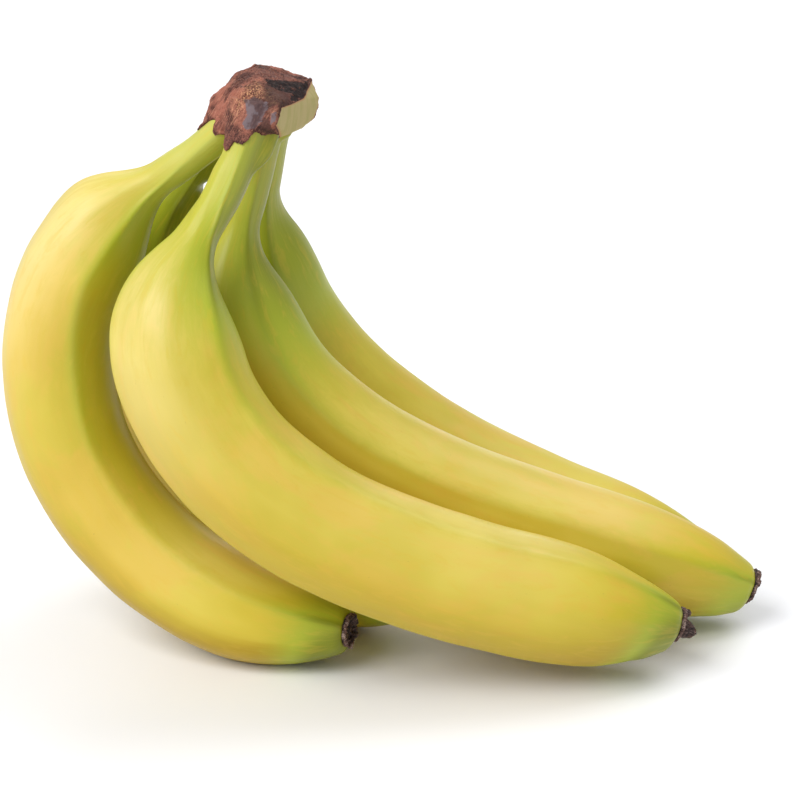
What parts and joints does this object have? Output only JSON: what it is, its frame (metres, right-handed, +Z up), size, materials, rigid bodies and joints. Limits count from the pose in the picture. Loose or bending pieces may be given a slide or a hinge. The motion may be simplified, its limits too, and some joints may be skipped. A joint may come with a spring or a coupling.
{
  "type": "bunch of bananas",
  "caption": "Curved ridged fruits joined by their stalks under a rough woody crown, resting on their bellies and one tip.",
  "frame": {"origin": "on the surface the bunch rests on, under the middle of its bounding box", "axes": "+Z up, +X the long way from the bellies to the fruit tips, +Y from the front fruit to the back fruit"},
  "size_m": [0.2456, 0.1255, 0.1901],
  "materials": {
    "peel": "smooth, satin, yellow with green at the neck and tip",
    "crown_wood": "rough, fibrous, dry",
    "dried_flower": "dry, crusty, matte"
  },
  "bodies": {
    "root": {"crown": "crown_wood", "finger_front": "peel", "finger_middle": "peel", "finger_back": "peel", "finger_left_front": "peel", "finger_left_back": "peel", "flower_end_front": "dried_flower", "flower_end_middle": "dried_flower", "flower_end_back": "dried_flower", "flower_end_left_front": "dried_flower", "flower_end_left_back": "dried_flower"}
  },
  "joints": []
}
